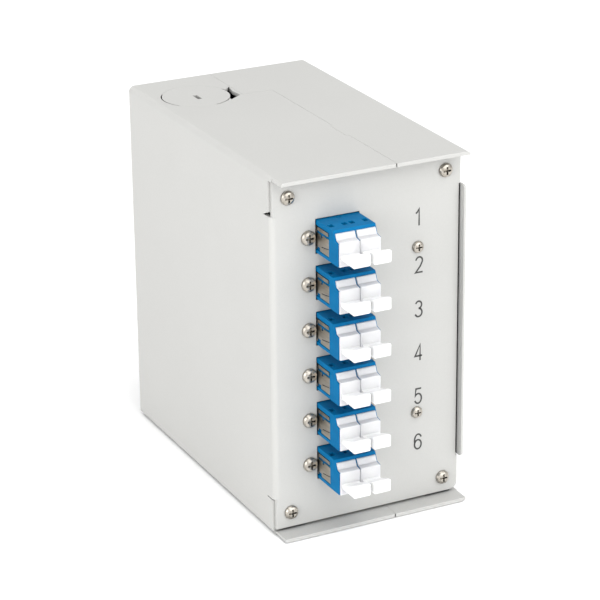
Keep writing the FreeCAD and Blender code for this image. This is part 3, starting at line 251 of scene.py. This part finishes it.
def rubber():
    """Soft black rubber of the splice holder."""
    material, tree, shader = new_material("comb_rubber")
    grain = object_noise(tree, 1800.0, 3.0)
    tree.links.new(ramp(tree, grain, (0.015, 0.015, 0.016), (0.035, 0.035, 0.037)),
                   shader.inputs["Base Color"])
    tree.links.new(map_range(tree, grain, to_min=0.7, to_max=0.85), shader.inputs["Roughness"])
    tree.links.new(bump(tree, grain, 0.25, 0.06 * MM, soft_edges(tree, 0.3 * MM)), shader.inputs["Normal"])
    return material


def floor_paint():
    """Matt white studio floor."""
    material, tree, shader = new_material("studio_floor")
    cloud = object_noise(tree, 3.0, 2.0)
    tree.links.new(ramp(tree, cloud, (0.90, 0.90, 0.90), (0.92, 0.92, 0.92)), shader.inputs["Base Color"])
    shader.inputs["Roughness"].default_value = 0.9
    shader.inputs["Specular IOR Level"].default_value = 0.1
    return material


LOOKS = {
    "powder_coat": powder_coat(),
    "zinc_sheet": metal(
        "zinc_sheet", dark=(0.37, 0.38, 0.395), light=(0.49, 0.50, 0.51), rough=(0.28, 0.42),
        grain=(1, 1, 8), scale=260.0),
    # painted shade darkens the recesses of this metal within 0.6 mm
    "nickel_plate": metal(
        "nickel_plate", dark=(0.36, 0.330, 0.285), light=(0.50, 0.470, 0.42), rough=(0.27, 0.38),
        scale=1400.0, depth=0.05, edge=0.12 * MM, painted_shade_reach=0.6 * MM),
    "rivet_metal": metal(
        "rivet_metal", dark=(0.42, 0.42, 0.43), light=(0.54, 0.54, 0.55), rough=(0.30, 0.45)),
    "spring_steel": metal(
        "spring_steel", dark=(0.28, 0.28, 0.29), light=(0.40, 0.40, 0.41), rough=(0.20, 0.32)),
    # painted shade darkens the recesses of this metal within 0.6 mm
    "clip_steel": metal(
        "clip_steel", dark=(0.40, 0.36, 0.30), light=(0.58, 0.53, 0.46), rough=(0.26, 0.40),
        grain=(1, 0.06, 1), scale=1500.0, painted_shade_reach=0.6 * MM),
    "zirconia": plastic(
        "zirconia", dark=(0.66, 0.65, 0.61), light=(0.71, 0.70, 0.67), rough=(0.08, 0.14),
        spec=0.7, peel=0.02, milky=0.1),
    "blue_plastic": plastic(
        "blue_plastic", dark=(0.001, 0.112, 0.268), light=(0.002, 0.134, 0.310), rough=(0.40, 0.52),
        spec=0.05, peel=0.10, edge_tint=(0.003, 0.150, 0.340)),
    "white_plastic": plastic(
        "white_plastic", dark=(0.660, 0.662, 0.665), light=(0.690, 0.692, 0.695), rough=(0.36, 0.48),
        spec=0.35, peel=0.05, milky=0.85, edge=0.2 * MM),
    "tray_plastic": plastic(
        "tray_plastic", dark=(0.50, 0.50, 0.485), light=(0.545, 0.545, 0.53), rough=(0.42, 0.55),
        spec=0.45, peel=0.12),
    "clear_plastic": clear_plastic(),
    "comb_rubber": rubber(),
    "nylon": plastic(
        "nylon", dark=(0.58, 0.56, 0.49), light=(0.63, 0.61, 0.545), rough=(0.35, 0.50),
        peel=0.06, milky=0.25),
    "clip_plastic": plastic(
        "clip_plastic", dark=(0.028, 0.028, 0.030), light=(0.045, 0.045, 0.048), rough=(0.38, 0.55),
        peel=0.25, edge_tint=(0.10, 0.10, 0.105)),
    "latch_plastic": plastic(
        "latch_plastic", dark=(0.055, 0.058, 0.062), light=(0.08, 0.083, 0.088), rough=(0.36, 0.50),
        peel=0.25, edge_tint=(0.15, 0.155, 0.16)),
    "print_ink": print_ink(),
}

for part in frame["record"]["subparts"]:
    for material_slot in nodes[part["node"]].material_slots:
        material_slot.material = LOOKS[part["material_slot"]]


# ---------------------------------------------------------------- port numbers

DIGIT_SIDE = CASE_LEFT + 45.35 * MM
DIGIT_STROKE = 0.50 * MM
INK_FILM = 0.03 * MM
# The printing wanders a little up and down from the adapters' centres.
DIGIT_DRIFT = [0.1 * MM, -0.5 * MM, -0.2 * MM, 0.05 * MM, 0.2 * MM, -0.5 * MM]


def finish_mesh(name, mesh_data, look, body):
    """Turn a bmesh into a piece that rides on a body."""
    mesh = bpy.data.meshes.new(name)
    mesh_data.to_mesh(mesh)
    mesh_data.free()
    piece = bpy.data.objects.new(name, mesh)
    bpy.context.scene.collection.objects.link(piece)
    mesh.materials.append(LOOKS[look])
    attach(piece, body)


def arc(side, level, wide, tall, start, end, steps=16):
    """Points on an ellipse between two angles in degrees."""
    points = []
    for step in range(steps + 1):
        angle = math.radians(start + (end - start) * step / steps)
        points.append((side + wide * math.cos(angle), level + tall * math.sin(angle)))
    return points


def digit_strokes(number):
    """Centre lines of a plain figure from 1 to 6, in mm from its middle: right and up."""
    if number == 1:
        return [[(-1.15, 1.15), (-0.60, 1.60), (-0.12, 2.40), (-0.12, -2.45)]]
    if number == 2:
        return [arc(0.0, 1.20, 1.02, 1.10, 172, -28) + [(0.35, -0.45), (-1.10, -2.20), (1.12, -2.20)]]
    if number == 3:
        return [arc(-0.08, 1.22, 0.95, 1.08, 160, -90), arc(-0.08, -1.08, 1.08, 1.22, 90, -162)]
    if number == 4:
        return [[(0.50, -2.40), (0.50, 2.35), (-1.12, -1.00), (1.15, -1.00)]]
    if number == 5:
        return [[(0.95, 2.25), (-0.72, 2.25)] + arc(-0.05, -0.75, 1.08, 1.50, 148, -158)]
    return [arc(0.0, -0.85, 1.08, 1.42, 0, 360), arc(0.06, 0.40, 1.13, 1.88, 205, 28)]


def ribbon(mesh, line, width, side, front, level):
    """A flat stroke of even width along a line of points, drawn on the panel."""
    points = [Vector((side + x * MM, level + z * MM)) for x, z in line]
    sharpest_mitre = 0.45
    edges = []
    for index, point in enumerate(points):
        before = points[max(index - 1, 0)]
        after = points[min(index + 1, len(points) - 1)]
        into = (point - before).normalized() if index else (after - point).normalized()
        out = (after - point).normalized() if after is not point else into
        along = (into + out).normalized()
        across = Vector((-along.y, along.x))
        reach = width / 2 / max(along.dot(out), sharpest_mitre)
        pair = []
        for sign in (1, -1):
            spot = point + across * reach * sign
            pair.append(mesh.verts.new((spot.x, front, spot.y)))
        edges.append(pair)
    for first, second in zip(edges, edges[1:]):
        mesh.faces.new((first[0], first[1], second[1], second[0]))


def port_numbers():
    for number, level in enumerate(ADAPTER_LEVELS, start=1):
        mesh = bmesh.new()
        for line in digit_strokes(number):
            ribbon(mesh, line, DIGIT_STROKE, DIGIT_SIDE, PANEL_FRONT - INK_FILM,
                   level + DIGIT_DRIFT[number - 1])
        bmesh.ops.recalc_face_normals(mesh, faces=mesh.faces)
        finish_mesh("port_number_%d" % number, mesh, "print_ink", "case")


port_numbers()


# ---------------------------------------------------------------- camera, floor and light

AZIMUTH = math.radians(-26.49)
ELEVATION = math.radians(21.78)
ROLL = math.radians(-0.6275)
DISTANCE = 742.04 * MM
AIM = Vector((-0.765, -7.162, 51.484)) * MM
LENS = 154.26
FLOOR_REACH = 4.0
FLOOR_TILES = 12
FLOOR_DROP = 0.2 * MM
LIGHT_AIM = (0, 0, 0.05)


def camera():
    back = Vector((math.sin(AZIMUTH) * math.cos(ELEVATION), -math.cos(AZIMUTH) * math.cos(ELEVATION),
                   math.sin(ELEVATION)))
    level = Vector((math.cos(AZIMUTH), math.sin(AZIMUTH), 0))
    upright = back.cross(level)
    right = level * math.cos(ROLL) + upright * math.sin(ROLL)
    up = back.cross(right)
    lens = bpy.data.cameras.new("camera")
    lens.lens = LENS
    lens.sensor_width = 36.0
    lens.clip_start = 0.01
    lens.clip_end = 50.0
    holder = bpy.data.objects.new("camera", lens)
    bpy.context.scene.collection.objects.link(holder)
    turn = Matrix((right, up, back)).transposed().to_4x4()
    holder.matrix_world = Matrix.Translation(AIM + back * DISTANCE) @ turn
    bpy.context.scene.camera = holder


def floor():
    """A square of tiles just below what the box stands on."""
    sheet = bmesh.new()
    lines = [-FLOOR_REACH + 2 * FLOOR_REACH * i / FLOOR_TILES for i in range(FLOOR_TILES + 1)]
    corners = [[sheet.verts.new((x, y, 0)) for y in lines] for x in lines]
    for near, far in zip(corners, corners[1:]):
        for j in range(FLOOR_TILES):
            sheet.faces.new((near[j], far[j], far[j + 1], near[j + 1]))
    mesh = bpy.data.meshes.new("studio_floor")
    sheet.to_mesh(mesh)
    sheet.free()
    piece = bpy.data.objects.new("studio_floor", mesh)
    piece.location.z = -FLOOR_DROP
    mesh.materials.append(floor_paint())
    bpy.context.scene.collection.objects.link(piece)


def softbox(name, place, size, power):
    light = bpy.data.lights.new(name, "AREA")
    light.shape = "RECTANGLE"
    light.size = size[0]
    light.size_y = size[1]
    light.energy = power
    holder = bpy.data.objects.new(name, light)
    bpy.context.scene.collection.objects.link(holder)
    holder.location = place
    holder.rotation_euler = (Vector(LIGHT_AIM) - Vector(place)).to_track_quat("-Z", "Y").to_euler()


def room():
    """White surroundings, dimmer behind the camera, so that metal has something to reflect."""
    world = bpy.data.worlds.new("studio")
    world.use_nodes = True
    tree = world.node_tree
    background = tree.nodes["Background"]
    background.inputs["Color"].default_value = (1.0, 1.0, 1.0, 1)
    where = tree.nodes.new("ShaderNodeTexCoord")
    split = tree.nodes.new("ShaderNodeSeparateXYZ")
    tree.links.new(where.outputs["Generated"], split.inputs["Vector"])
    strength = map_range(tree, split.outputs["Y"], from_min=-0.8, from_max=0.4, to_min=0.50, to_max=0.85)
    tree.links.new(strength, background.inputs["Strength"])
    bpy.context.scene.world = world


camera()
floor()
room()
softbox("overhead", place=(0.1, -0.85, 1.65), size=(2.4, 2.2), power=35.0)
softbox("front_right", place=(0.6, -1.9, 0.55), size=(1.8, 1.4), power=21.0)
softbox("front_left", place=(-1.75, -0.75, 0.65), size=(1.3, 1.3), power=24.0)
bpy.context.scene.view_settings.view_transform = "Standard"
bpy.context.scene.view_settings.look = "None"
